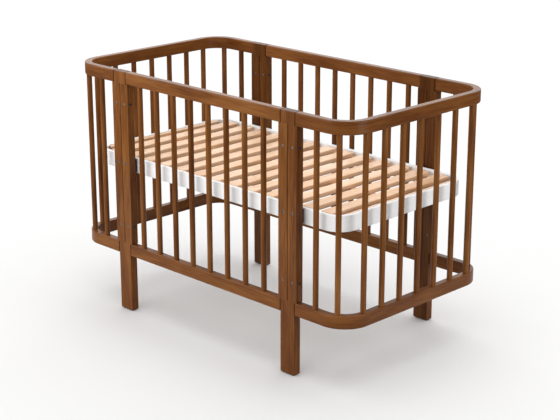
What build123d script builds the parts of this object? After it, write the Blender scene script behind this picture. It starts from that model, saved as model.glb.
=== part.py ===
from build123d import *
import math
import os

# Baby crib: two long bar panels, two round-cornered ends, four legs and a slatted
# mattress base that can be set at a high or a low level.
# Millimetres. X runs along the length, Y across the width, Z up. The origin is the
# middle of the footprint, on the floor.

# Overall
LENGTH = 1270
WIDTH = 674
HEIGHT = 843
CORNER_RADIUS = 95

# Rails
RAIL_THICKNESS = 25
TOP_RAIL_HEIGHT = 41
LOW_RAIL_HEIGHT = 42
LOW_RAIL_BOTTOM = 203
RAIL_ROUNDING = 3
SAWN_END_ROUNDING = 0.8

# Legs, and the stiles that stand between the rails
LEG_CENTRE = 390
LEG_WIDTH = 59
LEG_DEPTH = 28
LEG_ROUNDING = 1.5
RAIL_JOINT_GAP = 2.4
STILE_PAIR_WIDTH = 78
STILE_DEPTH = 27
STILE_GROOVE = 1.6
GLIDE_HEIGHT = 3
GLIDE_INSET = 4

# Round bars
BAR_DIAMETER = 18
BAR_TENON_DIAMETER = 11
BAR_TENON_LENGTH = 12
TENON_BOTTOM_GAP = 1
SIDE_BARS = 8
SIDE_BAR_PITCH = 82.4
SIDE_BAR_OFFSET = 12
END_BARS = 11
END_BAR_PITCH = 82.7

# Hardware in the legs
HIGH_JOINT_Z = 734
BASE_BOLT_Z = 528
LOW_JOINT_Z = 307
CROSS_DOWEL_DIAMETER = 8
DOWEL_HOLE_DIAMETER = 8.4
DOWEL_SLOT_WIDTH = 1.4
DOWEL_SLOT_DEPTH = 1.2
BOLT_SHANK_DIAMETER = 6
BOLT_HOLE_DIAMETER = 6.4
BOLT_HEAD_DIAMETER = 10
HEAD_RECESS_DIAMETER = 10.8
BOLT_HEAD_HEIGHT = 4
HEX_SOCKET_RADIUS = 3
HEX_SOCKET_DEPTH = 2.5
BELOW_FACE = 0.6
RAIL_DOWEL_DIAMETER = 10
RAIL_DOWEL_LENGTH = 36

# Mattress base
BASE_LENGTH = 1150
BASE_WIDTH = 600
BASE_CORNER_RADIUS = 65
BAND_THICKNESS = 12
BAND_HEIGHT = 52
BAND_TOP = 543
BAND_ROUNDING = 2
SLATS = 13
SLAT_PITCH = 82.5
SLAT_WIDTH = 46
SLAT_THICKNESS = 15
SLAT_ROUNDING = 2
SLAT_CORNER_RADIUS = 6
SLAT_BELOW_BAND = 3
SLAT_END_GAP = 9
LEDGE_WIDTH = 22
LEDGE_HEIGHT = 28
BEAM_WIDTH = 24
END_BOARD_WIDTH = 16
END_BOARD_LENGTH = 510
BRACKET_THICKNESS = 3
BRACKET_WIDTH = 66
BRACKET_HEIGHT = 44
BOSS_DIAMETER = 16
BOSS_CLEARANCE = 0.6

# Worked out from the above
LOW_RAIL_TOP = LOW_RAIL_BOTTOM + LOW_RAIL_HEIGHT
TOP_RAIL_BOTTOM = HEIGHT - TOP_RAIL_HEIGHT
HALF_WIDTH = WIDTH / 2
HALF_LEG = LEG_WIDTH / 2
HALF_GROOVE = STILE_GROOVE / 2
HALF_STILES = STILE_PAIR_WIDTH / 2
STILE_MIDDLE = (HALF_STILES + HALF_GROOVE) / 2
SIDE_RAIL_END = LEG_CENTRE - HALF_LEG - RAIL_JOINT_GAP
END_RAIL_START = LEG_CENTRE + HALF_LEG + RAIL_JOINT_GAP
BAR_LINE_X = LENGTH / 2 - RAIL_THICKNESS / 2
BAR_LINE_Y = HALF_WIDTH - RAIL_THICKNESS / 2
BAR_ARC_RADIUS = CORNER_RADIUS - RAIL_THICKNESS / 2
BAR_BOTTOM = LOW_RAIL_TOP - BAR_TENON_LENGTH
BAR_TOP = TOP_RAIL_BOTTOM + BAR_TENON_LENGTH
HARDWARE_Y = HALF_WIDTH - STILE_DEPTH / 2
RAIL_DOWEL_Y = BAR_LINE_Y
BAND_INNER_X = BASE_LENGTH / 2 - BAND_THICKNESS
BAND_INNER_Y = BASE_WIDTH / 2 - BAND_THICKNESS
BAND_BOTTOM = BAND_TOP - BAND_HEIGHT
SLAT_TOP = BAND_TOP - SLAT_BELOW_BAND
SLAT_BOTTOM = SLAT_TOP - SLAT_THICKNESS
BASE_STRAIGHT_LENGTH = BASE_LENGTH - 2 * BASE_CORNER_RADIUS

SIDES = {"front": -1, "rear": 1}
ENDS = {"left": -1, "right": 1}
POSTS = [(end, side) for side in SIDES for end in ENDS]


def save(name, part):
    """Names a finished piece and writes it to its own file."""
    part.label = name
    export_step(part, f"parts/{name}.step")


def side_bar_places(side):
    """Plan positions. Both long panels are one design, and the rear one is turned half round."""
    middle = (SIDE_BARS - 1) / 2
    offset = SIDES[side] * SIDE_BAR_OFFSET
    y = SIDES[side] * BAR_LINE_Y
    return [((i - middle) * SIDE_BAR_PITCH + offset, y) for i in range(SIDE_BARS)]


def end_bar_place(end, along):
    """Plan position on the middle line of a bent end rail, measured along it from its midpoint."""
    straight = HALF_WIDTH - CORNER_RADIUS
    arc_length = BAR_ARC_RADIUS * math.pi / 2
    into_arc = max(abs(along) - straight, 0)
    turn = min(into_arc, arc_length) / BAR_ARC_RADIUS
    past_arc = max(into_arc - arc_length, 0)
    x = LENGTH / 2 - CORNER_RADIUS + BAR_ARC_RADIUS * math.cos(turn) - past_arc
    y = min(abs(along), straight) + BAR_ARC_RADIUS * math.sin(turn)
    return ENDS[end] * x, math.copysign(y, along)


def end_bar_places(end):
    middle = (END_BARS - 1) / 2
    return [end_bar_place(end, (i - middle) * END_BAR_PITCH) for i in range(END_BARS)]


def build_rail(name, bottom, height, stretch_centre, stretch_size, sawn_x, bar_places, holes_up):
    """One stretch of the rounded rail line, drilled for its bars and for its end dowels."""
    hole_depth = BAR_TENON_LENGTH + TENON_BOTTOM_GAP
    mouth = bottom + height if holes_up else bottom
    hole_middle = mouth - hole_depth / 2 if holes_up else mouth + hole_depth / 2
    with BuildPart() as rail:
        with BuildSketch(Plane.XY.offset(bottom)):
            RectangleRounded(LENGTH, WIDTH, CORNER_RADIUS)
            RectangleRounded(
                LENGTH - 2 * RAIL_THICKNESS,
                WIDTH - 2 * RAIL_THICKNESS,
                CORNER_RADIUS - RAIL_THICKNESS,
                mode=Mode.SUBTRACT,
            )
            with Locations(stretch_centre):
                Rectangle(*stretch_size, mode=Mode.INTERSECT)
        extrude(amount=height)
        level_faces = rail.faces().filter_by(Axis.Z)
        long_edges = [edge for edge in level_faces.edges() if abs(abs(edge.center().X) - sawn_x) > 0.1]
        fillet(long_edges, RAIL_ROUNDING)
        sawn_faces = rail.faces().filter_by(lambda face: abs(abs(face.center().X) - sawn_x) < 0.1)
        fillet(sawn_faces.edges(), SAWN_END_ROUNDING)
        with Locations([(x, y, hole_middle) for x, y in bar_places]):
            Cylinder(BAR_TENON_DIAMETER / 2, hole_depth, mode=Mode.SUBTRACT)
        drill_for_rail_dowels(bottom + height / 2)
    save(name, rail.part)


def drill_for_rail_dowels(z):
    """Cuts the hole of every rail dowel at one height out of the piece being built."""
    with Locations([(x, y, z) for x, y in rail_dowel_places()]):
        Cylinder(
            RAIL_DOWEL_DIAMETER / 2, RAIL_DOWEL_LENGTH, rotation=(0, 90, 0), mode=Mode.SUBTRACT
        )


def rail_dowel_places():
    """Plan position of each dowel's middle, in the gap between a rail's end and a leg."""
    offset = HALF_LEG + RAIL_JOINT_GAP / 2
    return [
        (ENDS[end] * (LEG_CENTRE + toward * offset), SIDES[side] * RAIL_DOWEL_Y)
        for end, side in POSTS
        for toward in (-1, 1)
    ]


def build_side_rail(name, side, bottom, height, holes_up):
    build_rail(
        name,
        bottom,
        height,
        (0, SIDES[side] * BAR_LINE_Y),
        (2 * SIDE_RAIL_END, RAIL_THICKNESS),
        SIDE_RAIL_END,
        side_bar_places(side),
        holes_up,
    )


def build_end_rail(name, end, bottom, height, holes_up):
    stretch = LENGTH / 2 - END_RAIL_START
    build_rail(
        name,
        bottom,
        height,
        (ENDS[end] * (END_RAIL_START + stretch / 2), 0),
        (stretch, WIDTH),
        END_RAIL_START,
        end_bar_places(end),
        holes_up,
    )


def bar_solid():
    """A round bar with a thinner tenon at each end, upright on the origin at its finished height."""
    with BuildPart(Plane.XY.offset(LOW_RAIL_TOP)) as bar:
        Cylinder(
            BAR_DIAMETER / 2,
            TOP_RAIL_BOTTOM - LOW_RAIL_TOP,
            align=(Align.CENTER, Align.CENTER, Align.MIN),
        )
    with BuildPart(Plane.XY.offset(BAR_BOTTOM)) as tenons:
        Cylinder(
            BAR_TENON_DIAMETER / 2,
            BAR_TOP - BAR_BOTTOM,
            align=(Align.CENTER, Align.CENTER, Align.MIN),
        )
    return bar.part + tenons.part


def leg_plane(side, depth):
    """Vertical plane to extrude a leg piece from: the extrusion ends or starts on the outer face."""
    outer = HALF_WIDTH if side == "rear" else depth - HALF_WIDTH
    return Plane.XZ.offset(-outer)


def cut_cross_holes(end, side, across):
    """The holes along Y through one stile: two for cross dowels and one for the base bolt."""
    x = ENDS[end] * (LEG_CENTRE + across * STILE_MIDDLE)
    y = SIDES[side] * HARDWARE_Y
    with Locations([(x, y, z) for z in (LOW_JOINT_Z, HIGH_JOINT_Z)]):
        Cylinder(DOWEL_HOLE_DIAMETER / 2, 2 * LEG_DEPTH, rotation=(90, 0, 0), mode=Mode.SUBTRACT)
    with Locations((x, y, BASE_BOLT_Z)):
        Cylinder(BOLT_HOLE_DIAMETER / 2, 2 * LEG_DEPTH, rotation=(90, 0, 0), mode=Mode.SUBTRACT)
    recess = BOLT_HEAD_HEIGHT + BELOW_FACE
    with Locations((x, SIDES[side] * (HALF_WIDTH - recess / 2), BASE_BOLT_Z)):
        Cylinder(HEAD_RECESS_DIAMETER / 2, recess, rotation=(90, 0, 0), mode=Mode.SUBTRACT)


def cut_panel_bolt_holes(end, side, across):
    """The holes along X through one stile, with a recess for the bolt's head."""
    y = SIDES[side] * HARDWARE_Y
    recess = BOLT_HEAD_HEIGHT + BELOW_FACE
    shank_x = ENDS[end] * (LEG_CENTRE + across * STILE_MIDDLE)
    recess_x = ENDS[end] * (LEG_CENTRE + across * (HALF_STILES - recess / 2))
    with Locations([(shank_x, y, z) for z in (LOW_JOINT_Z, HIGH_JOINT_Z)]):
        Cylinder(BOLT_HOLE_DIAMETER / 2, HALF_STILES, rotation=(0, 90, 0), mode=Mode.SUBTRACT)
    with Locations([(recess_x, y, z) for z in (LOW_JOINT_Z, HIGH_JOINT_Z)]):
        Cylinder(HEAD_RECESS_DIAMETER / 2, recess, rotation=(0, 90, 0), mode=Mode.SUBTRACT)


def build_leg(end, side):
    """Foot, rail block and end-side stile in one piece, notched for the side panel's stile."""
    outline = [
        (-HALF_LEG, GLIDE_HEIGHT),
        (HALF_LEG, GLIDE_HEIGHT),
        (HALF_LEG, LOW_RAIL_TOP),
        (HALF_STILES, LOW_RAIL_TOP),
        (HALF_STILES, TOP_RAIL_BOTTOM),
        (HALF_LEG, TOP_RAIL_BOTTOM),
        (HALF_LEG, HEIGHT),
        (-HALF_LEG, HEIGHT),
        (-HALF_LEG, TOP_RAIL_BOTTOM),
        (HALF_GROOVE, TOP_RAIL_BOTTOM),
        (HALF_GROOVE, LOW_RAIL_TOP),
        (-HALF_LEG, LOW_RAIL_TOP),
    ]
    with BuildPart() as leg:
        with BuildSketch(leg_plane(side, LEG_DEPTH)):
            with BuildLine():
                Polyline([(ENDS[end] * (LEG_CENTRE + x), z) for x, z in outline], close=True)
            make_face()
        extrude(amount=LEG_DEPTH)
        fillet(leg.edges().filter_by(Axis.Z), LEG_ROUNDING)
        foot = leg.faces().sort_by(Axis.Z)[0]
        fillet(foot.edges(), LEG_ROUNDING)
        top = leg.faces().sort_by(Axis.Z)[-1]
        fillet(top.edges(), LEG_ROUNDING)
        cut_cross_holes(end, side, 1)
        cut_panel_bolt_holes(end, side, 1)
        for rail_middle in (LOW_RAIL_BOTTOM + LOW_RAIL_HEIGHT / 2, HEIGHT - TOP_RAIL_HEIGHT / 2):
            drill_for_rail_dowels(rail_middle)
    save(f"leg_{side}_{end}", leg.part)


def build_side_stile(end, side):
    """The side panel's own upright, which stands in the leg's notch."""
    middle_x = ENDS[end] * (LEG_CENTRE - STILE_MIDDLE)
    middle_z = (LOW_RAIL_TOP + TOP_RAIL_BOTTOM) / 2
    with BuildPart() as stile:
        with BuildSketch(leg_plane(side, STILE_DEPTH)):
            with Locations((middle_x, middle_z)):
                Rectangle(HALF_STILES - HALF_GROOVE, TOP_RAIL_BOTTOM - LOW_RAIL_TOP)
        extrude(amount=STILE_DEPTH)
        fillet(stile.edges().filter_by(Axis.Z), LEG_ROUNDING)
        cut_cross_holes(end, side, -1)
        cut_panel_bolt_holes(end, side, -1)
    save(f"side_stile_{side}_{end}", stile.part)


def cut_hex_socket(plane):
    """Sinks a socket for a hex key into the bolt being built."""
    with BuildSketch(plane) as socket:
        RegularPolygon(HEX_SOCKET_RADIUS, 6)
    extrude(socket.sketch, amount=-HEX_SOCKET_DEPTH, mode=Mode.SUBTRACT)


def panel_bolt():
    """Connecting bolt along X with a socket head at both ends, centred on the origin."""
    reach = HALF_STILES - BELOW_FACE
    with BuildPart() as bolt:
        Cylinder(BOLT_SHANK_DIAMETER / 2, 2 * reach, rotation=(0, 90, 0))
        with Locations([(sign * (reach - BOLT_HEAD_HEIGHT / 2), 0, 0) for sign in (-1, 1)]):
            Cylinder(BOLT_HEAD_DIAMETER / 2, BOLT_HEAD_HEIGHT, rotation=(0, 90, 0))
        cut_hex_socket(Plane.YZ.offset(reach))
        cut_hex_socket(Plane((-reach, 0, 0), z_dir=(-1, 0, 0)))
    return bolt.part


def cross_dowel():
    """Steel barrel along Y with a clear hole for the panel bolt and a slot in its outer end."""
    length = STILE_DEPTH - 2 * BELOW_FACE
    with BuildPart() as dowel:
        Cylinder(CROSS_DOWEL_DIAMETER / 2, length, rotation=(90, 0, 0))
        Cylinder(
            BOLT_HOLE_DIAMETER / 2, CROSS_DOWEL_DIAMETER, rotation=(0, 90, 0), mode=Mode.SUBTRACT
        )
        with Locations((0, length / 2 - DOWEL_SLOT_DEPTH / 2, 0)):
            Box(CROSS_DOWEL_DIAMETER, DOWEL_SLOT_DEPTH, DOWEL_SLOT_WIDTH, mode=Mode.SUBTRACT)
    return dowel.part


def base_bolt():
    """Socket-head bolt along Y whose head faces +Y, its outer end on the origin's plane."""
    length = LEG_DEPTH - 2 * BELOW_FACE
    with BuildPart() as bolt:
        with Locations((0, -length / 2, 0)):
            Cylinder(BOLT_SHANK_DIAMETER / 2, length, rotation=(90, 0, 0))
        with Locations((0, -BOLT_HEAD_HEIGHT / 2, 0)):
            Cylinder(BOLT_HEAD_DIAMETER / 2, BOLT_HEAD_HEIGHT, rotation=(90, 0, 0))
        cut_hex_socket(Plane((0, 0, 0), z_dir=(0, 1, 0)))
    return bolt.part


def save_group(name, solids):
    """Several identical, separate solids in one node."""
    save(name, Compound(children=solids))


def facing(side):
    """Turns a piece that is made for the rear, so that it serves the chosen side."""
    return Rot(0, 0, 0 if side == "rear" else 180)


def build_panel_bolts():
    solids = [
        Pos(ENDS[end] * LEG_CENTRE, SIDES[side] * HARDWARE_Y, z) * panel_bolt()
        for end, side in POSTS
        for z in (LOW_JOINT_Z, HIGH_JOINT_Z)
    ]
    save_group("panel_bolts", solids)


def build_cross_dowels():
    solids = [
        Pos(ENDS[end] * (LEG_CENTRE + across * STILE_MIDDLE), SIDES[side] * HARDWARE_Y, z)
        * facing(side)
        * cross_dowel()
        for end, side in POSTS
        for across in (-1, 1)
        for z in (LOW_JOINT_Z, HIGH_JOINT_Z)
    ]
    save_group("cross_dowels", solids)


def build_base_bolts():
    head_y = HALF_WIDTH - BELOW_FACE
    solids = [
        Pos(ENDS[end] * (LEG_CENTRE + across * STILE_MIDDLE), SIDES[side] * head_y, BASE_BOLT_Z)
        * facing(side)
        * base_bolt()
        for end, side in POSTS
        for across in (-1, 1)
    ]
    save_group("base_bolts", solids)


def build_rail_dowels():
    with BuildPart() as dowel:
        Cylinder(RAIL_DOWEL_DIAMETER / 2, RAIL_DOWEL_LENGTH, rotation=(0, 90, 0))
    heights = (LOW_RAIL_BOTTOM + LOW_RAIL_HEIGHT / 2, HEIGHT - TOP_RAIL_HEIGHT / 2)
    solids = [Pos(x, y, z) * dowel.part for x, y in rail_dowel_places() for z in heights]
    save_group("rail_dowels", solids)


def build_foot_glides():
    with BuildPart() as glide:
        Box(
            LEG_WIDTH - 2 * GLIDE_INSET,
            LEG_DEPTH - 2 * GLIDE_INSET,
            GLIDE_HEIGHT,
            align=(Align.CENTER, Align.CENTER, Align.MIN),
        )
        fillet(glide.edges().filter_by(Axis.Z), GLIDE_INSET)
    y = HALF_WIDTH - LEG_DEPTH / 2
    solids = [Pos(ENDS[end] * LEG_CENTRE, SIDES[side] * y, 0) * glide.part for end, side in POSTS]
    save_group("foot_glides", solids)


def build_base_band():
    """The bent plywood hoop round the mattress base."""
    with BuildPart() as band:
        with BuildSketch(Plane.XY.offset(BAND_BOTTOM)):
            RectangleRounded(BASE_LENGTH, BASE_WIDTH, BASE_CORNER_RADIUS)
            RectangleRounded(
                2 * BAND_INNER_X,
                2 * BAND_INNER_Y,
                BASE_CORNER_RADIUS - BAND_THICKNESS,
                mode=Mode.SUBTRACT,
            )
        extrude(amount=BAND_HEIGHT)
        fillet(band.faces().filter_by(Axis.Z).edges(), BAND_ROUNDING)
    save("base_band", band.part)


def build_base_batten(name, centre_y, length, width):
    """A straight batten along X under the slats, with its long edges rounded."""
    with BuildPart(Plane.XY.offset(SLAT_BOTTOM - LEDGE_HEIGHT)) as batten:
        with Locations((0, centre_y)):
            Box(length, width, LEDGE_HEIGHT, align=(Align.CENTER, Align.CENTER, Align.MIN))
        fillet(batten.edges().filter_by(Axis.X), BAND_ROUNDING)
    save(name, batten.part)


def build_end_board(name, end):
    """A board against the band at one end, its outer corners cut to the band's curve."""
    with BuildPart() as board:
        with BuildSketch(Plane.XY.offset(SLAT_BOTTOM)):
            RectangleRounded(
                2 * BAND_INNER_X, 2 * BAND_INNER_Y, BASE_CORNER_RADIUS - BAND_THICKNESS
            )
            with Locations((ENDS[end] * (BAND_INNER_X - END_BOARD_WIDTH / 2), 0)):
                Rectangle(END_BOARD_WIDTH, END_BOARD_LENGTH, mode=Mode.INTERSECT)
        extrude(amount=SLAT_THICKNESS)
        fillet(board.faces().filter_by(Axis.Z).edges(), SLAT_ROUNDING)
    save(name, board.part)


def build_base_slat(name, centre_x):
    """A slat across the base, with rounded corners and eased edges."""
    with BuildPart() as slat:
        with BuildSketch(Plane.XY.offset(SLAT_BOTTOM)):
            with Locations((centre_x, 0)):
                RectangleRounded(SLAT_WIDTH, 2 * (BAND_INNER_Y - SLAT_END_GAP), SLAT_CORNER_RADIUS)
        extrude(amount=SLAT_THICKNESS)
        fillet(slat.faces().filter_by(Axis.Z).edges(), SLAT_ROUNDING)
    save(name, slat.part)


def build_base_brackets():
    """Steel plates on the band, with threaded bosses that face the base bolts."""
    plate_y = BASE_WIDTH / 2
    boss_reach = HALF_WIDTH - LEG_DEPTH - BOSS_CLEARANCE - plate_y
    plate_z = (BAND_TOP + BAND_BOTTOM) / 2
    with BuildPart() as bracket:
        with Locations((0, BRACKET_THICKNESS / 2, plate_z)):
            Box(BRACKET_WIDTH, BRACKET_THICKNESS, BRACKET_HEIGHT)
        fillet(bracket.edges().filter_by(Axis.Y), BRACKET_THICKNESS)
        boss_places = [(across * STILE_MIDDLE, boss_reach / 2, BASE_BOLT_Z) for across in (-1, 1)]
        with Locations(boss_places):
            Cylinder(BOSS_DIAMETER / 2, boss_reach, rotation=(90, 0, 0))
            Cylinder(
                BOLT_SHANK_DIAMETER / 2, 2 * boss_reach, rotation=(90, 0, 0), mode=Mode.SUBTRACT
            )
    solids = [
        Pos(ENDS[end] * LEG_CENTRE, SIDES[side] * plate_y, 0) * facing(side) * bracket.part
        for end, side in POSTS
    ]
    save_group("base_brackets", solids)


os.makedirs("parts", exist_ok=True)

for side in SIDES:
    build_side_rail(f"side_top_rail_{side}", side, TOP_RAIL_BOTTOM, TOP_RAIL_HEIGHT, False)
    build_side_rail(f"side_low_rail_{side}", side, LOW_RAIL_BOTTOM, LOW_RAIL_HEIGHT, True)
for end in ENDS:
    build_end_rail(f"end_top_rail_{end}", end, TOP_RAIL_BOTTOM, TOP_RAIL_HEIGHT, False)
    build_end_rail(f"end_low_rail_{end}", end, LOW_RAIL_BOTTOM, LOW_RAIL_HEIGHT, True)

bar = bar_solid()
for side in SIDES:
    for number, (x, y) in enumerate(side_bar_places(side), start=1):
        save(f"side_bar_{side}_{number}", Pos(x, y, 0) * bar)
for end in ENDS:
    save_group(f"end_bars_{end}", [Pos(x, y, 0) * bar for x, y in end_bar_places(end)])

for end, side in POSTS:
    build_leg(end, side)
    build_side_stile(end, side)
build_rail_dowels()
build_panel_bolts()
build_cross_dowels()
build_base_bolts()
build_foot_glides()

build_base_band()
ledge_y = BAND_INNER_Y - LEDGE_WIDTH / 2
for side, sign in SIDES.items():
    build_base_batten(f"base_ledge_{side}", sign * ledge_y, BASE_STRAIGHT_LENGTH, LEDGE_WIDTH)
build_base_batten("base_centre_beam", 0, 2 * BAND_INNER_X, BEAM_WIDTH)
for end in ENDS:
    build_end_board(f"base_end_board_{end}", end)
for number in range(1, SLATS + 1):
    build_base_slat(f"base_slat_{number}", (number - (SLATS + 1) / 2) * SLAT_PITCH)
build_base_brackets()
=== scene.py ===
import math

import bpy
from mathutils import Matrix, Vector


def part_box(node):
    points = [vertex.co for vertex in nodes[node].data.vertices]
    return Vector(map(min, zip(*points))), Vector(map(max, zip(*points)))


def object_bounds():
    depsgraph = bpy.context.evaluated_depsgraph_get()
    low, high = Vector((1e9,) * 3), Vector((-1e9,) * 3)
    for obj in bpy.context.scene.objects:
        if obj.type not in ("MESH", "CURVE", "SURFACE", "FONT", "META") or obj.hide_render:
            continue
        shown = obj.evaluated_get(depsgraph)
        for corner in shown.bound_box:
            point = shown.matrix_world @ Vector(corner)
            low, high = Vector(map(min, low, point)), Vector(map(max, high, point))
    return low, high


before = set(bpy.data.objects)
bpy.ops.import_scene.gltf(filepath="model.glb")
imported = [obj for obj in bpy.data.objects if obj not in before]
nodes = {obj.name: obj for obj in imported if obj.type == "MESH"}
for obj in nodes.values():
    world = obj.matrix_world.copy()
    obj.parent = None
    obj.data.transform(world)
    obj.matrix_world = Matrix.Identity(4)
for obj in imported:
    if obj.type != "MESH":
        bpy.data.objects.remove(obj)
cad_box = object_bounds()

# ---------------------------------------------------------------- colours and sizes

# Colours are linear RGB.
STAIN_DEEP = (0.060, 0.0175, 0.0030)
STAIN_DARK = (0.102, 0.0315, 0.0060)
STAIN_MID = (0.153, 0.0545, 0.0118)
STAIN_LIGHT = (0.215, 0.0865, 0.0225)
STAIN_RUBBED = (0.290, 0.135, 0.0500)

BEECH_DEEP = (0.480, 0.250, 0.120)
BEECH_DARK = (0.700, 0.430, 0.250)
BEECH_MID = (0.845, 0.590, 0.405)
BEECH_LIGHT = (0.915, 0.680, 0.500)
BEECH_RUBBED = (0.940, 0.740, 0.580)

LACQUER_WHITE = (0.800, 0.800, 0.795)
LACQUER_SHADE = (0.740, 0.742, 0.745)
# The painted highlight on the lacquer's arrises.
LACQUER_EDGE_HIGHLIGHT = (0.880, 0.880, 0.875)

BLACK_STEEL = ((0.010, 0.010, 0.011), (0.030, 0.031, 0.033), (0.16, 0.16, 0.17))
ZINC_STEEL = ((0.070, 0.085, 0.088), (0.150, 0.170, 0.172), (0.42, 0.44, 0.44))

FELT_DARK = (0.012, 0.012, 0.013)
FELT_MID = (0.035, 0.034, 0.034)
FELT_LIGHT = (0.10, 0.098, 0.095)

# The bends of the end rails: corner centre and radius of the middle line, from the box of a rail.
RAIL_THICKNESS = 0.025
RAIL_BEND = 0.0825
BAND_THICKNESS = 0.012
BAND_BEND = 0.059

RING_LINES_PER_METRE = 420.0
# Painted shade in the narrow gaps between pieces: how far it reaches and its dark colour.
GAP_REACH = 0.005
PAINTED_GAP_SHADE_COLOUR = (0.020, 0.008, 0.003)
PLY_THICKNESS = 0.0028

CAMERA_PLACE = (3.3082, -3.3057, 1.8615)
CAMERA_DIRECTION = (-0.67154, 0.67606, -0.30328)
CAMERA_LENS = 93.456

FLOOR_SHADE = (0.856, 0.855, 0.854)
FLOOR_LIGHT = (0.868, 0.867, 0.866)
FLOOR_NEAR = 1.7
FLOOR_FAR = 30.0

DAYLIGHT_STRENGTH = 1.1
# How bright the room is at each height, from straight down at 0 through the horizon at 0.5 to the zenith at 1.
DAYLIGHT_BY_HEIGHT = ((0.40, 0.12), (0.50, 1.0), (0.66, 0.92), (0.80, 0.45), (1.0, 0.30))
WINDOW_DIRECTION = (-0.66, 0.67, 0.32)
WINDOW_GAIN = 2.2


def bend_of(node, radius, thickness):
    """Where the two bends of a bent piece turn: the absolute x and y of their centres and the middle line's radius."""
    low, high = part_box(node)
    reach_x = max(abs(low.x), abs(high.x))
    reach_y = max(abs(low.y), abs(high.y))
    return (reach_x - thickness / 2 - radius, reach_y - thickness / 2 - radius, radius)


# ---------------------------------------------------------------- node helpers


class Tree:
    """A material's node tree, with short calls that add and link nodes."""

    def __init__(self, name):
        self.material = bpy.data.materials.new(name)
        self.material.use_nodes = True
        self.tree = self.material.node_tree
        self.tree.nodes.clear()

    def add(self, kind, inputs=None, **settings):
        node = self.tree.nodes.new(kind)
        for key, value in settings.items():
            setattr(node, key, value)
        for key, value in (inputs or {}).items():
            self.put(node.inputs[key], value)
        return node

    def put(self, socket, value):
        if isinstance(value, bpy.types.NodeSocket):
            self.tree.links.new(value, socket)
        elif socket.type == "RGBA":
            socket.default_value = (*value, 1.0)
        else:
            socket.default_value = value

    def math(self, operation, a, b=None, c=None, clamp=False):
        values = [v for v in (a, b, c) if v is not None]
        node = self.add("ShaderNodeMath", dict(enumerate(values)), operation=operation, use_clamp=clamp)
        return node.outputs[0]

    def vector(self, x, y, z):
        return self.add("ShaderNodeCombineXYZ", {"X": x, "Y": y, "Z": z}).outputs[0]

    def parts(self, vector):
        return self.add("ShaderNodeSeparateXYZ", {"Vector": vector}).outputs

    def stretch(self, vector, scale):
        node = self.add("ShaderNodeVectorMath", {0: vector, 1: scale}, operation="MULTIPLY")
        return node.outputs[0]

    def shift(self, vector, offset):
        node = self.add("ShaderNodeVectorMath", {0: vector, 1: offset}, operation="ADD")
        return node.outputs[0]

    def noise(self, vector, scale, detail=2.0, roughness=0.5, distortion=0.0):
        inputs = {
            "Vector": vector,
            "Scale": scale,
            "Detail": detail,
            "Roughness": roughness,
            "Distortion": distortion,
        }
        return self.add("ShaderNodeTexNoise", inputs).outputs["Fac"]

    def remap(self, value, low, high):
        inputs = {"Value": value, "From Min": low, "From Max": high, "To Min": 0.0, "To Max": 1.0}
        return self.add("ShaderNodeMapRange", inputs, interpolation_type="SMOOTHSTEP").outputs["Result"]

    def mix(self, factor, a, b):
        node = self.add("ShaderNodeMix", data_type="RGBA")
        self.put(node.inputs["Factor"], factor)
        for name, value in (("A", a), ("B", b)):
            socket = [s for s in node.inputs if s.name == name and s.type == "RGBA"][0]
            self.put(socket, value)
        return [s for s in node.outputs if s.type == "RGBA"][0]

    def ramp(self, factor, stops):
        node = self.add("ShaderNodeValToRGB", {"Fac": factor})
        elements = node.color_ramp.elements
        while len(elements) < len(stops):
            elements.new(0.5)
        for element, (position, colour) in zip(elements, stops):
            element.position = position
            element.color = (*colour, 1.0)
        return node.outputs["Color"]

    def seed(self):
        """A number of its own for each piece, from the piece's own property."""
        return self.add("ShaderNodeAttribute", attribute_type="OBJECT", attribute_name="seed").outputs["Fac"]

    def place(self):
        return self.add("ShaderNodeTexCoord").outputs["Object"]

    def facing(self):
        return self.add("ShaderNodeNewGeometry").outputs["Normal"]

    def edges(self, radius):
        """1 on the outer arrises and 0 on flat faces."""
        rounded = self.add("ShaderNodeBevel", {"Radius": radius}, samples=6).outputs["Normal"]
        dot = self.add("ShaderNodeVectorMath", {0: rounded, 1: self.facing()}, operation="DOT_PRODUCT")
        return self.remap(dot.outputs["Value"], 0.995, 0.90)

    def painted_shade_in_gaps(self, reach):
        """Painted shade: 1 in narrow gaps between pieces and 0 on open faces, read from an ambient-occlusion node."""
        inputs = {"Distance": reach}
        shade = self.add("ShaderNodeAmbientOcclusion", inputs, samples=6).outputs["AO"]
        return self.remap(shade, 0.78, 0.42)

    def bump(self, height, distance):
        inputs = {"Height": height, "Distance": distance, "Strength": 1.0}
        return self.add("ShaderNodeBump", inputs).outputs["Normal"]

    def finish(self, **sockets):
        shader = self.add("ShaderNodeBsdfPrincipled")
        for key, value in sockets.items():
            self.put(shader.inputs[key.replace("_", " ")], value)
        out = self.add("ShaderNodeOutputMaterial")
        self.tree.links.new(shader.outputs["BSDF"], out.inputs["Surface"])
        return self.material


# ---------------------------------------------------------------- grain directions


def grain_along(axis):
    """Coordinates with the grain along one axis: (along the grain, across, across), and how far a face is end grain."""

    def coordinates(t):
        x, y, z = t.parts(t.place())
        nx, ny, nz = t.parts(t.facing())
        order = {"X": (x, y, z), "Y": (y, x, z), "Z": (z, x, y)}[axis]
        across = {"X": nx, "Y": ny, "Z": nz}[axis]
        return t.vector(*order), t.math("ABSOLUTE", across)

    return coordinates


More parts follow.
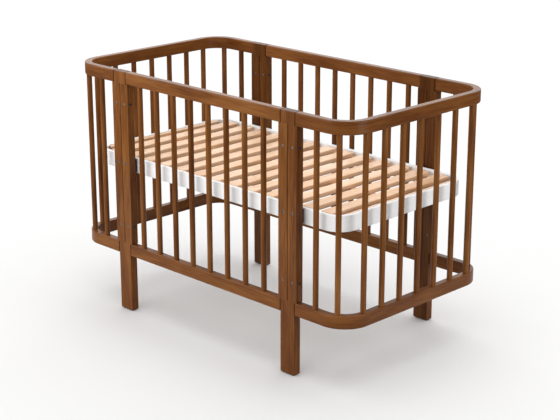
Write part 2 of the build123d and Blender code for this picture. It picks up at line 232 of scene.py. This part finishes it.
def grain_round(bend):
    """The same for a piece bent round two corners: the grain follows the bend."""
    centre_x, centre_y, radius = bend

    def coordinates(t):
        x, y, z = t.parts(t.place())
        nx, ny, nz = t.parts(t.facing())
        size_x, size_y = t.math("ABSOLUTE", x), t.math("ABSOLUTE", y)
        past_x = t.math("MAXIMUM", t.math("SUBTRACT", size_x, centre_x), 0.0)
        past_y = t.math("MAXIMUM", t.math("SUBTRACT", size_y, centre_y), 0.0)
        out = t.math("SQRT", t.math("MULTIPLY_ADD", past_x, past_x, t.math("MULTIPLY", past_y, past_y)))
        turn = t.math("ARCTAN2", past_y, past_x)
        length = t.math("MINIMUM", size_y, centre_y)
        length = t.math("MULTIPLY_ADD", turn, radius, length)
        arm = t.math("MAXIMUM", t.math("SUBTRACT", centre_x, size_x), 0.0)
        length = t.math("MULTIPLY", t.math("ADD", length, arm), t.math("SIGN", y))
        along_arm = t.math("MULTIPLY", t.math("ABSOLUTE", nx), t.math("GREATER_THAN", arm, RAIL_THICKNESS))
        return t.vector(length, out, z), along_arm

    return coordinates


# ---------------------------------------------------------------- wood


def wood(
    name,
    coordinates,
    colours,
    streak=0.5,
    rings=0.2,
    mottle=0.5,
    fleck=0.3,
    roughness=0.38,
    specular=0.04,
    coat=0.22,
    coat_roughness=0.2,
    edge_radius=0.0016,
    rub=0.5,
    plies_and_painted_light=0.0,
    painted_gap_shade=0.0,
):
    """Wood with fibres, growth rings, flecks, mottled tone, end grain and rubbed arrises under a satin lacquer; where
    asked, also painted shade in narrow gaps and painted light on slat sides.
    """
    deep, dark, mid, light, rubbed = colours
    t = Tree(name)
    place, end_face = coordinates(t)
    seed = t.seed()
    own = t.vector(t.math("MULTIPLY", seed, 9.7), t.math("MULTIPLY", seed, 1.31), t.math("MULTIPLY", seed, 0.83))
    grain = t.shift(place, own)

    sway = t.noise(t.stretch(grain, (2.2, 9.0, 9.0)), 1.0, 2.0)
    sway = t.math("MULTIPLY_ADD", sway, 0.012, -0.006)
    swayed = t.shift(grain, t.vector(0.0, sway, sway))

    tone = t.noise(t.stretch(swayed, (3.4, 22.0, 22.0)), 1.0, 3.0, 0.55)
    streaks = t.noise(t.stretch(swayed, (11.0, 330.0, 330.0)), 1.0, 3.0, 0.6)
    fibres = t.noise(t.stretch(swayed, (60.0, 1900.0, 1900.0)), 1.0, 2.0, 0.6)

    _, across, deepness = t.parts(swayed)
    pith = t.math("MULTIPLY_ADD", seed, 0.16, 0.07)
    side = t.math("ADD", across, pith)
    up = t.math("ADD", deepness, t.math("MULTIPLY", pith, 0.6))
    ring = t.math("SQRT", t.math("MULTIPLY_ADD", side, side, t.math("MULTIPLY", up, up)))
    ring = t.math("FRACT", t.math("MULTIPLY", ring, RING_LINES_PER_METRE))
    ring = t.math("MULTIPLY", t.remap(ring, 0.0, 0.75), t.remap(ring, 1.0, 0.86))

    cells = {"Vector": t.stretch(grain, (330.0, 2100.0, 2100.0)), "Scale": 1.0}
    flecks = t.add("ShaderNodeTexVoronoi", cells, feature="F1").outputs["Distance"]
    flecks = t.remap(flecks, 0.30, 0.12)

    value = t.math("MULTIPLY_ADD", t.math("SUBTRACT", tone, 0.5), 2.2 * mottle, 0.52)
    value = t.math("MULTIPLY_ADD", t.math("SUBTRACT", streaks, 0.5), 2.0 * streak, value)
    value = t.math("MULTIPLY_ADD", t.math("SUBTRACT", fibres, 0.5), 0.5 * streak, value)
    value = t.math("MULTIPLY_ADD", ring, -rings, value)
    value = t.math("MULTIPLY_ADD", flecks, -fleck, value)
    value = t.math("MULTIPLY_ADD", t.math("SUBTRACT", seed, 0.5), 0.16, value)
    # Ply lines on the slat sides: real plywood layers, and also painted light standing for the light reflected up onto
    # these sides.
    if plies_and_painted_light:
        _, _, nz = t.parts(t.facing())
        layer = t.math("MULTIPLY", t.parts(place)[2], 1.0 / PLY_THICKNESS)
        layer = t.math("PINGPONG", layer, 1.0)
        layer = t.remap(layer, 0.35, 0.65)
        edge_face = t.remap(t.math("ABSOLUTE", nz), 0.75, 0.45)
        value = t.math("MULTIPLY_ADD", t.math("MULTIPLY", layer, edge_face), -plies_and_painted_light, value)
        # Painted shade: the side faces of a slat are made a little darker than its top.
        value = t.math("MULTIPLY_ADD", edge_face, -0.04, value)
    value = t.math("MULTIPLY_ADD", t.remap(end_face, 0.8, 0.95), -0.38, value, clamp=True)
    colour = t.ramp(value, [(0.0, deep), (0.28, dark), (0.55, mid), (0.9, light)])

    edge = t.edges(edge_radius)
    patchy = t.noise(t.stretch(grain, (24.0, 60.0, 60.0)), 1.0, 3.0, 0.6)
    worn = t.math("MULTIPLY", edge, t.remap(patchy, 0.32, 0.68), clamp=True)
    colour = t.mix(t.math("MULTIPLY", worn, rub), colour, rubbed)

    # Painted shade: narrow gaps and joints between pieces are coloured dark, where shade falls.
    if painted_gap_shade:
        colour = t.mix(t.math("MULTIPLY", t.painted_shade_in_gaps(GAP_REACH), painted_gap_shade), colour, PAINTED_GAP_SHADE_COLOUR)

    gloss = t.math("MULTIPLY_ADD", streaks, 0.16, roughness - 0.08)
    gloss = t.math("MULTIPLY_ADD", worn, 0.10, gloss)
    gloss = t.math("MULTIPLY_ADD", t.remap(end_face, 0.8, 0.95), 0.12, gloss, clamp=True)
    height = t.math("MULTIPLY_ADD", streaks, 0.6, t.math("MULTIPLY", fibres, 0.5))
    height = t.math("MULTIPLY_ADD", flecks, -0.4, height)
    return t.finish(
        Base_Color=colour,
        Roughness=gloss,
        Specular_IOR_Level=specular,
        Coat_Weight=coat,
        Coat_Roughness=coat_roughness,
        Normal=t.bump(height, 0.00012),
    )


STAINED = (STAIN_DEEP, STAIN_DARK, STAIN_MID, STAIN_LIGHT, STAIN_RUBBED)
PALE = (BEECH_DEEP, BEECH_DARK, BEECH_MID, BEECH_LIGHT, BEECH_RUBBED)


# ---------------------------------------------------------------- lacquer, metal and felt


def lacquer(name, bend):
    """White lacquer on bent plywood: orange peel, faint shading along the bend, and a painted highlight on the arrises.
    """
    t = Tree(name)
    place, _ = grain_round(bend)(t)
    seed = t.seed()
    place = t.shift(place, t.vector(seed, seed, seed))
    tone = t.noise(t.stretch(place, (5.0, 30.0, 30.0)), 1.0, 3.0, 0.5)
    wood_under = t.noise(t.stretch(place, (14.0, 420.0, 420.0)), 1.0, 2.0, 0.6)
    peel = t.noise(place, 620.0, 2.0, 0.5)
    value = t.math("MULTIPLY_ADD", wood_under, 0.18, t.math("MULTIPLY", tone, 0.9), clamp=True)
    colour = t.ramp(value, [(0.25, LACQUER_SHADE), (0.75, LACQUER_WHITE)])
    # Painted highlight: the arrises are made whiter than the flat faces.
    edge = t.edges(0.0018)
    colour = t.mix(t.math("MULTIPLY", edge, 0.6), colour, LACQUER_EDGE_HIGHLIGHT)
    gloss = t.math("MULTIPLY_ADD", tone, 0.14, 0.40)
    height = t.math("MULTIPLY_ADD", wood_under, 0.35, peel)
    return t.finish(
        Base_Color=colour,
        Roughness=gloss,
        Specular_IOR_Level=0.4,
        Coat_Weight=0.15,
        Coat_Roughness=0.3,
        Normal=t.bump(height, 0.00008),
    )


def metal(name, colours, metallic, roughness):
    """Plated steel: blotchy plating, fine scratches and bright arrises."""
    dark, light, worn = colours
    t = Tree(name)
    place = t.place()
    blotch = t.noise(place, 160.0, 3.0, 0.6)
    scratch = t.noise(t.stretch(place, (300.0, 300.0, 3800.0)), 1.0, 2.0, 0.6)
    value = t.math("MULTIPLY_ADD", scratch, 0.45, t.math("MULTIPLY", blotch, 0.6), clamp=True)
    colour = t.ramp(value, [(0.25, dark), (0.8, light)])
    edge = t.edges(0.0006)
    colour = t.mix(t.math("MULTIPLY", edge, 0.55), colour, worn)
    gloss = t.math("MULTIPLY_ADD", scratch, 0.2, roughness - 0.08)
    return t.finish(
        Base_Color=colour,
        Metallic=metallic,
        Roughness=gloss,
        Normal=t.bump(t.math("ADD", scratch, blotch), 0.00004),
    )


def felt(name):
    """Pressed dark felt: short matted fibres, lighter fuzz and a soft sheen."""
    t = Tree(name)
    place = t.place()
    fuzz = t.noise(place, 900.0, 4.0, 0.7, 1.2)
    tufts = t.noise(place, 240.0, 3.0, 0.6)
    value = t.math("MULTIPLY_ADD", fuzz, 0.7, t.math("MULTIPLY", tufts, 0.4), clamp=True)
    colour = t.ramp(value, [(0.2, FELT_DARK), (0.55, FELT_MID), (0.9, FELT_LIGHT)])
    return t.finish(
        Base_Color=colour,
        Roughness=t.math("MULTIPLY_ADD", fuzz, 0.1, 0.86),
        Sheen_Weight=0.35,
        Sheen_Roughness=0.5,
        Specular_IOR_Level=0.1,
        Normal=t.bump(fuzz, 0.0004),
    )


# ---------------------------------------------------------------- a finish for every CAD node

rail_bend = bend_of("end_top_rail_right", RAIL_BEND, RAIL_THICKNESS)
band_bend = bend_of("base_band", BAND_BEND, BAND_THICKNESS)

# The rails and posts carry painted shade in the gaps between pieces.
RAIL_LOOK = dict(streak=0.50, rings=0.14, mottle=0.54, fleck=0.18, rub=0.40, painted_gap_shade=0.9)
POST_LOOK = dict(streak=0.54, rings=0.16, mottle=0.52, fleck=0.18, rub=0.40, painted_gap_shade=0.9)
BAR_LOOK = dict(streak=0.52, rings=0.12, mottle=0.58, fleck=0.18, rub=0.0)
SLAT_LOOK = dict(streak=0.30, rings=0.14, mottle=0.34, fleck=0.25, rub=0.35, roughness=0.5, specular=0.2, coat=0.1)

finishes = {
    "straight_rail": wood("stained_rail_straight", grain_along("X"), STAINED, **RAIL_LOOK),
    "bent_rail": wood("stained_rail_bent", grain_round(rail_bend), STAINED, **RAIL_LOOK),
    "bar": wood("stained_bar_turned", grain_along("Z"), STAINED, **BAR_LOOK),
    "post": wood("stained_post_sawn", grain_along("Z"), STAINED, **POST_LOOK),
    "slat": wood("pale_beech_slat", grain_along("Y"), PALE, plies_and_painted_light=0.10, **SLAT_LOOK),
    "ledge": wood("pale_beech_ledge", grain_along("X"), PALE, **SLAT_LOOK),
    "band": lacquer("white_lacquered_band", band_bend),
    "black": metal("black_steel_worn", BLACK_STEEL, metallic=0.6, roughness=0.42),
    "zinc": metal("zinc_steel_dull", ZINC_STEEL, metallic=0.8, roughness=0.40),
    "felt": felt("dark_felt_pressed"),
}

FINISH_OF_PREFIX = (
    ("side_top_rail", "straight_rail"),
    ("side_low_rail", "straight_rail"),
    ("end_top_rail", "bent_rail"),
    ("end_low_rail", "bent_rail"),
    ("side_bar", "bar"),
    ("end_bars", "bar"),
    ("leg", "post"),
    ("side_stile", "post"),
    ("rail_dowels", "ledge"),
    ("panel_bolts", "black"),
    ("cross_dowels", "zinc"),
    ("base_bolts", "zinc"),
    ("base_brackets", "black"),
    ("foot_glides", "felt"),
    ("base_band", "band"),
    ("base_ledge", "ledge"),
    ("base_centre_beam", "ledge"),
    ("base_end_board", "slat"),
    ("base_slat", "slat"),
)

GOLDEN_SHARE = 0.6180339887

for count, name in enumerate(sorted(nodes)):
    finish = [f for prefix, f in FINISH_OF_PREFIX if name.startswith(prefix)][0]
    node = nodes[name]
    node["seed"] = (count + 1) * GOLDEN_SHARE % 1.0
    for slot in node.material_slots:
        slot.material = finishes[finish]

# ---------------------------------------------------------------- floor, light and camera


def floor():
    """A pale floor. Only its middle shows in the reflections, as under a real studio sweep."""
    t = Tree("pale_floor")
    tone = t.noise(t.place(), 1.3, 2.0, 0.5)
    colour = t.ramp(tone, [(0.3, FLOOR_SHADE), (0.7, FLOOR_LIGHT)])
    material = t.finish(Base_Color=colour, Roughness=0.8, Specular_IOR_Level=0.1)
    corners = ((-1, -1), (1, -1), (1, 1), (-1, 1))
    inner = [(x * FLOOR_NEAR, y * FLOOR_NEAR, 0.0) for x, y in corners]
    outer = [(x * FLOOR_FAR, y * FLOOR_FAR, 0.0) for x, y in corners]
    ring = [(i, (i + 1) % 4, (i + 1) % 4 + 4, i + 4) for i in range(4)]
    for name, faces, glossy in (("floor_near", [(0, 1, 2, 3)], True), ("floor_far", ring, False)):
        mesh = bpy.data.meshes.new(name)
        mesh.from_pydata(inner + outer, [], faces)
        mesh.materials.append(material)
        plane = bpy.data.objects.new(name, mesh)
        plane.location.z = cad_box[0].z
        plane.visible_glossy = glossy
        plane.visible_diffuse = False
        bpy.context.scene.collection.objects.link(plane)


def lamp(kind, name, place, aim, power, **settings):
    """A light of this kind at one place, turned towards another."""
    data = bpy.data.lights.new(name, kind)
    data.energy = power
    for key, value in settings.items():
        setattr(data, key, value)
    light = bpy.data.objects.new(name, data)
    light.location = place
    light.rotation_mode = "QUATERNION"
    light.rotation_quaternion = (Vector(aim) - Vector(place)).to_track_quat("-Z", "Y")
    bpy.context.scene.collection.objects.link(light)
    return light


def light_only(light, objects):
    """The light falls on these objects and leaves the floor alone."""
    receivers = bpy.data.collections.new(light.name + "_receivers")
    for obj in objects:
        receivers.objects.link(obj)
    light.light_linking.receiver_collection = receivers


def daylight():
    """A white room: brightest at the horizon, dark below it, with a soft window glow behind the crib."""
    world = bpy.data.worlds.new("white_room")
    world.use_nodes = True
    tree = world.node_tree
    back = tree.nodes["Background"]
    place = tree.nodes.new("ShaderNodeTexCoord")
    parts = tree.nodes.new("ShaderNodeSeparateXYZ")
    height = tree.nodes.new("ShaderNodeMapRange")
    height.inputs["From Min"].default_value = -1.0
    ramp = tree.nodes.new("ShaderNodeValToRGB")
    elements = ramp.color_ramp.elements
    while len(elements) < len(DAYLIGHT_BY_HEIGHT):
        elements.new(0.5)
    for element, (position, white) in zip(elements, DAYLIGHT_BY_HEIGHT):
        element.position = position
        element.color = (white, white, white, 1.0)
    tree.links.new(place.outputs["Generated"], parts.inputs["Vector"])
    tree.links.new(parts.outputs["Z"], height.inputs["Value"])
    tree.links.new(height.outputs["Result"], ramp.inputs["Fac"])
    glow = tree.nodes.new("ShaderNodeVectorMath")
    glow.operation = "DOT_PRODUCT"
    glow.inputs[1].default_value = Vector(WINDOW_DIRECTION).normalized()
    lobe = tree.nodes.new("ShaderNodeMapRange")
    lobe.interpolation_type = "SMOOTHSTEP"
    lobe.inputs["From Min"].default_value = 0.55
    lobe.inputs["To Min"].default_value = DAYLIGHT_STRENGTH
    lobe.inputs["To Max"].default_value = DAYLIGHT_STRENGTH * WINDOW_GAIN
    tree.links.new(place.outputs["Generated"], glow.inputs[0])
    tree.links.new(glow.outputs["Value"], lobe.inputs["Value"])
    tree.links.new(lobe.outputs["Result"], back.inputs["Strength"])
    tree.links.new(ramp.outputs["Color"], back.inputs["Color"])
    bpy.context.scene.world = world


def camera():
    """The camera, where the picture is taken from."""
    data = bpy.data.cameras.new("view")
    data.sensor_width = 36.0
    data.lens = CAMERA_LENS
    data.clip_start, data.clip_end = 0.05, 100.0
    cam = bpy.data.objects.new("view", data)
    cam.location = CAMERA_PLACE
    cam.rotation_mode = "QUATERNION"
    cam.rotation_quaternion = Vector(CAMERA_DIRECTION).to_track_quat("-Z", "Y")
    bpy.context.scene.collection.objects.link(cam)
    bpy.context.scene.camera = cam


floor()
daylight()
lamp("SUN", "ceiling", (0.0, 0.0, 5.0), (0.0, 0.0, 0.0), 1.64, angle=math.radians(70.0))
front_box = lamp(
    "AREA", "front_box", (-1.05, -2.3, 1.25), (-0.3, 0.0, 0.6), 84.0, shape="RECTANGLE", size=3.8, size_y=1.5
)
right_box = lamp(
    "AREA", "right_box", (2.9, 0.2, 0.9), (0.0, 0.2, 0.6), 33.0, shape="RECTANGLE", size=1.4, size_y=1.2
)
rear_posts = ("leg_rear", "side_stile_rear")
light_only(front_box, [node for name, node in nodes.items() if not name.startswith(rear_posts)])
light_only(right_box, nodes.values())
camera()
bpy.context.scene.view_settings.view_transform = "Standard"
